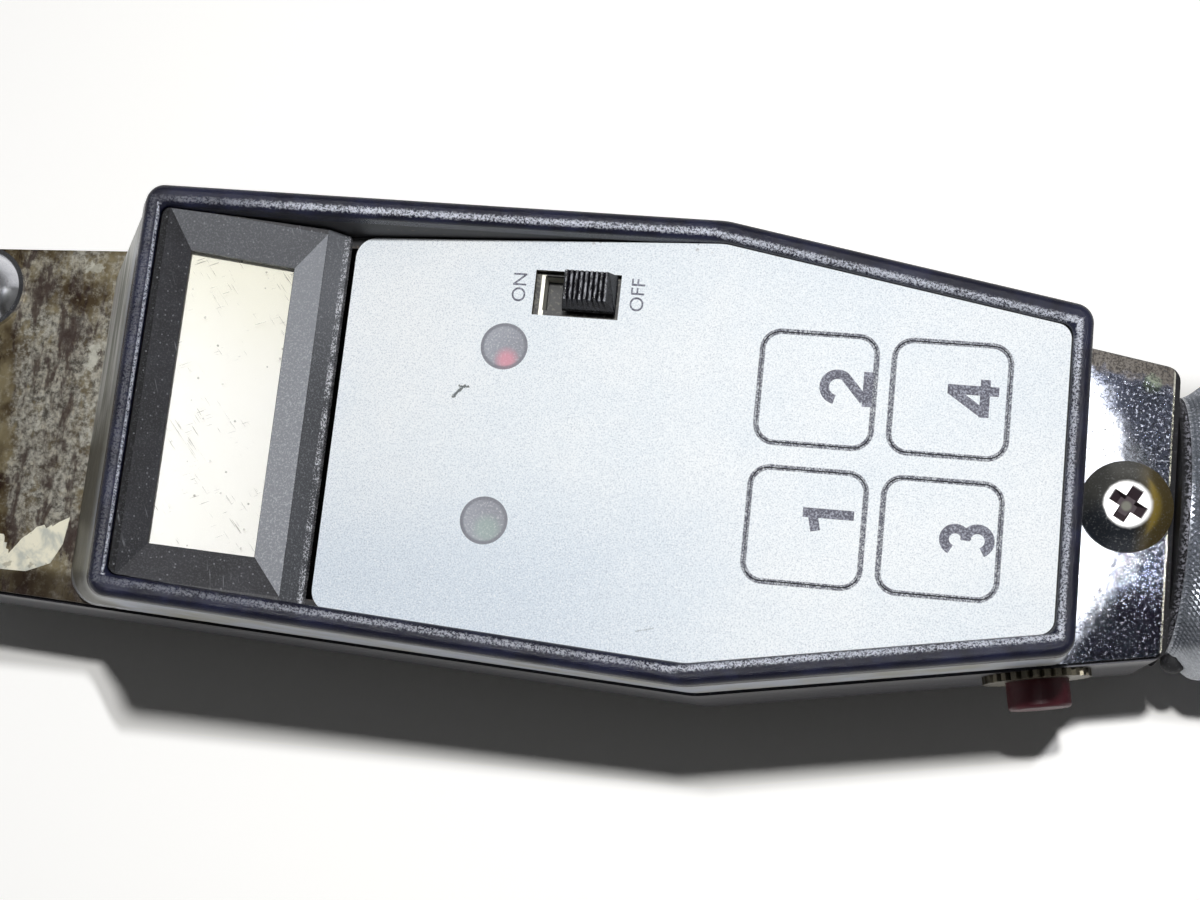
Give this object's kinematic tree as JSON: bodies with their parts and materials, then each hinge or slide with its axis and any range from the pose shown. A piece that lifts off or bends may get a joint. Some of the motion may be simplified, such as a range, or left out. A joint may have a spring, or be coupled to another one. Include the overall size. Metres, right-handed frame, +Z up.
{
  "type": "digital torque wrench",
  "caption": "Digital torque wrench: ratchet head with a square drive, sensing beam, raised display tray with keys, and a round battery grip.",
  "frame": {"origin": "centre of the square drive's end face", "axes": "+X along the wrench from the head towards the grip, +Z up, out of the keypad, with the drive pointing down, +Y across, away from the side with the red push button"},
  "size_m": [0.4401, 0.0716, 0.0757],
  "materials": {
    "head_chrome": "worn chrome plate",
    "tool_steel": "ground alloy steel",
    "fastener_steel": "plated steel",
    "lever_black": "black oxide",
    "foil": "etched foil",
    "seal_rubber": "soft black rubber",
    "body_casting": "dark satin paint on a casting, worn on its edges",
    "plated_cover": "bright plate at the grip end, brown-olive tarnish at the head end",
    "tray_grey": "brushed grey-olive paint, scuffed",
    "trim_gloss": "glossy blue-black, scuffed along its crest",
    "bezel_dark": "matte moulding with fine specks",
    "window_clear": "clear plastic with scratches",
    "display_cream": "cream reflective display, blank",
    "panel_silver": "pale blue-silver print with a fine sparkle",
    "lamp_smoke": "smoked translucent window",
    "lamp_red": "red resin",
    "lamp_green": "green resin",
    "switch_tin": "tinned sheet",
    "knob_black": "black ribbed moulding",
    "board_green": "green solder mask",
    "standoff_brass": "turned brass",
    "switch_black": "black moulding",
    "button_plate": "nickel plate",
    "button_red": "dark red, polished by use",
    "grip_dark": "coarse stippled grip",
    "cap_dark": "moulded cap",
    "cell_sleeve": "plain printed sleeve",
    "carrier_black": "black moulding",
    "lead_red": "insulated lead",
    "lead_grey": "screened lead"
  },
  "bodies": {
    "wrench_body": {"head_housing": "head_chrome", "head_cover": "head_chrome", "head_cover_screws": "fastener_steel", "head_pin": "tool_steel", "sensing_beam": "tool_steel", "strain_gauges": "foil", "anchor_screws": "fastener_steel", "beam_seal": "seal_rubber", "lower_housing": "body_casting", "top_cover": "plated_cover", "front_bolts": "fastener_steel", "cover_screw": "fastener_steel", "display_housing": "tray_grey", "tray_screws": "fastener_steel", "tray_nuts": "fastener_steel", "edge_trim": "trim_gloss", "display_bezel": "bezel_dark", "display_window": "window_clear", "display_cell": "display_cream", "keypad_panel": "panel_silver", "lamp_windows": "lamp_smoke", "red_lamp": "lamp_red", "green_lamp": "lamp_green", "switch_body": "switch_tin", "circuit_board": "board_green", "board_standoffs": "standoff_brass", "board_screws": "fastener_steel", "key_switches": "switch_black", "button_bushing": "button_plate", "button_ring": "button_plate", "handle_tube": "tool_steel", "tube_pins": "tool_steel", "grip": "grip_dark", "battery_cells": "cell_sleeve", "battery_carrier": "carrier_black", "gauge_lead": "lead_grey", "battery_lead": "lead_red"},
    "drive": {"drive_gear": "tool_steel", "detent_ball": "tool_steel", "detent_spring": "tool_steel"},
    "pawl": {"pawl": "tool_steel"},
    "lever": {"reversing_lever": "lever_black", "click_ball": "tool_steel", "click_spring": "tool_steel"},
    "key_1": {"key_1": "panel_silver"},
    "key_2": {"key_2": "panel_silver"},
    "key_3": {"key_3": "panel_silver"},
    "key_4": {"key_4": "panel_silver"},
    "power_knob": {"switch_knob": "knob_black"},
    "push_button": {"button_cap": "button_red"},
    "end_cap": {"end_cap": "cap_dark", "battery_spring": "tool_steel"}
  },
  "joints": [
    {"name": "drive_spin", "type": "hinge", "parent": "wrench_body", "child": "drive", "pos_m": [0, 0, 0], "axis": [0, 0, 1], "continuous": true},
    {"name": "lever_swing", "type": "hinge", "parent": "wrench_body", "child": "lever", "pos_m": [0.024, 0, 0.0376], "axis": [0, 0, 1], "range_deg": [-40, 0]},
    {"name": "pawl_rock", "type": "hinge", "parent": "wrench_body", "child": "pawl", "pos_m": [0.024, 0, 0.0156], "axis": [0, 0, 1], "range_deg": [-16, 0]},
    {"name": "key_1_press", "type": "slide", "parent": "wrench_body", "child": "key_1", "axis": [0, 0, -1], "range_m": [0, 0.0005], "stiffness_N_per_m": 2000},
    {"name": "key_2_press", "type": "slide", "parent": "wrench_body", "child": "key_2", "axis": [0, 0, -1], "range_m": [0, 0.0005], "stiffness_N_per_m": 2000},
    {"name": "key_3_press", "type": "slide", "parent": "wrench_body", "child": "key_3", "axis": [0, 0, -1], "range_m": [0, 0.0005], "stiffness_N_per_m": 2000},
    {"name": "key_4_press", "type": "slide", "parent": "wrench_body", "child": "key_4", "axis": [0, 0, -1], "range_m": [0, 0.0005], "stiffness_N_per_m": 2000},
    {"name": "power_slide", "type": "slide", "parent": "wrench_body", "child": "power_knob", "axis": [-1, 0, 0], "range_m": [0, 0.0036]},
    {"name": "button_press", "type": "slide", "parent": "wrench_body", "child": "push_button", "axis": [-0.1743, 0.9847, 0], "range_m": [0, 0.002], "stiffness_N_per_m": 1500},
    {"name": "cap_pull", "type": "slide", "parent": "wrench_body", "child": "end_cap", "axis": [1, 0, 0], "range_m": [0, 0.02]}
  ],
  "couplings": [
    {"joint": "pawl_rock", "follows": "lever_swing", "ratio": 0.4}
  ]
}
